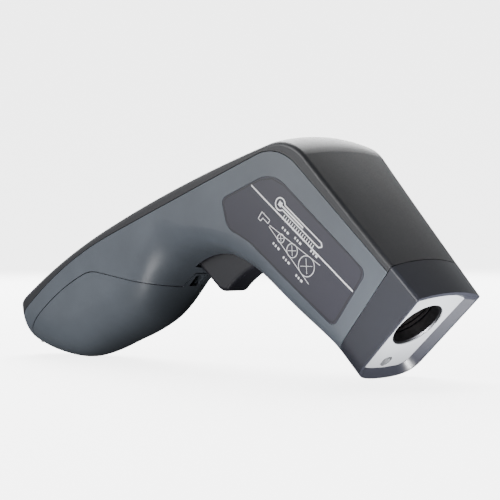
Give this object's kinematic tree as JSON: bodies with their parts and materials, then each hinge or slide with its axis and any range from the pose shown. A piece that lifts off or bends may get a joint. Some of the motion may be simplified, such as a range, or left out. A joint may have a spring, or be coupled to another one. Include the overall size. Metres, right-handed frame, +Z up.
{
  "type": "infrared thermometer",
  "caption": "Compact pistol-grip infrared thermometer: tent-shaped body with a dark spine, a recessed sensor opening in the nose, a finger trigger and a hinged battery door in the handle.",
  "frame": {"origin": "centre of the bounding box at floor level, with the thermometer standing like a tent on its nose and its battery door", "axes": "+X towards the nose, +Y the object's left, +Z up"},
  "size_m": [0.1874, 0.0388, 0.0727],
  "materials": {
    "blue_grey_shell": "satin, very fine texture",
    "black_cover": "satin black, fine texture",
    "door_shell": "satin, very fine texture",
    "nose_cap": "semi-gloss dark grey",
    "front_grey": "satin grey",
    "label_film": "satin printed film",
    "trigger_plastic": "semi-gloss",
    "black_anodised": "black anodised, fine turned",
    "infrared_lens": "polished",
    "clear_pane": "polished",
    "lcd_glass": "polished",
    "steel": "fine drawn",
    "spring_steel": "bright nickel",
    "sensor_can": "bright nickel",
    "brass_barrel": "turned",
    "inner_plastic": "matt",
    "switch_plastic": "matt",
    "knob_plastic": "matt",
    "circuit_board": "lacquered",
    "chip_black": "matt",
    "strip_rubber": "matt",
    "cell_wrap": "printed film",
    "red_wire": "satin",
    "black_wire": "satin",
    "grey_wire": "satin"
  },
  "bodies": {
    "case": {"right_side_shell": "blue_grey_shell", "left_side_shell": "blue_grey_shell", "spine_cover": "black_cover", "nose_bezel": "nose_cap", "front_plate": "front_grey", "right_label": "label_film", "left_label": "label_film", "optics_tube": "black_anodised", "lens_ring": "black_anodised", "ir_lens": "infrared_lens", "lcd_window": "clear_pane", "laser_window": "clear_pane", "lcd_module": "lcd_glass", "trigger_pin": "steel", "door_hinge_pin": "steel", "case_screws": "steel", "board_screws": "steel", "trigger_spring": "spring_steel", "contact_springs": "spring_steel", "contact_plates": "spring_steel", "thermopile_sensor": "sensor_can", "laser_module": "brass_barrel", "sensor_holder": "inner_plastic", "lcd_frame": "inner_plastic", "battery_tray": "inner_plastic", "spring_post": "inner_plastic", "trigger_switch": "switch_plastic", "unit_switch": "switch_plastic", "laser_switch": "switch_plastic", "main_board": "circuit_board", "sensor_board": "circuit_board", "laser_board": "circuit_board", "board_chips": "chip_black", "contact_strips": "strip_rubber", "battery_cells": "cell_wrap", "positive_lead": "red_wire", "negative_lead": "black_wire", "laser_leads": "grey_wire", "sensor_leads": "grey_wire"},
    "trigger_lever": {"trigger": "trigger_plastic"},
    "switch_button": {"switch_plunger": "knob_plastic"},
    "door": {"battery_door": "door_shell"},
    "unit_knob": {"unit_switch_knob": "knob_plastic"},
    "laser_knob": {"laser_switch_knob": "knob_plastic"}
  },
  "joints": [
    {"name": "trigger_hinge", "type": "hinge", "parent": "case", "child": "trigger_lever", "pos_m": [0.02038, 0, 0.03985], "axis": [0, 1, 0], "range_deg": [0, 9], "stiffness_Nm_per_rad": 0.15, "springref_deg": -6.88, "deforming": ["trigger_spring"]},
    {"name": "plunger_slide", "type": "slide", "parent": "case", "child": "switch_button", "axis": [0.0101, 0, 0.9999], "range_m": [0, 0.00125]},
    {"name": "door_hinge", "type": "hinge", "parent": "case", "child": "door", "pos_m": [-0.08488, 0, 0.00531], "axis": [0, 1, 0], "range_deg": [0, 75]},
    {"name": "unit_knob_slide", "type": "slide", "parent": "case", "child": "unit_knob", "axis": [0.9999, 0, -0.0101], "range_m": [0, 0.002]},
    {"name": "laser_knob_slide", "type": "slide", "parent": "case", "child": "laser_knob", "axis": [0.9999, 0, -0.0101], "range_m": [0, 0.002]}
  ],
  "couplings": [
    {"joint": "plunger_slide", "follows": "trigger_hinge", "m_per_rad": 0.00764}
  ]
}
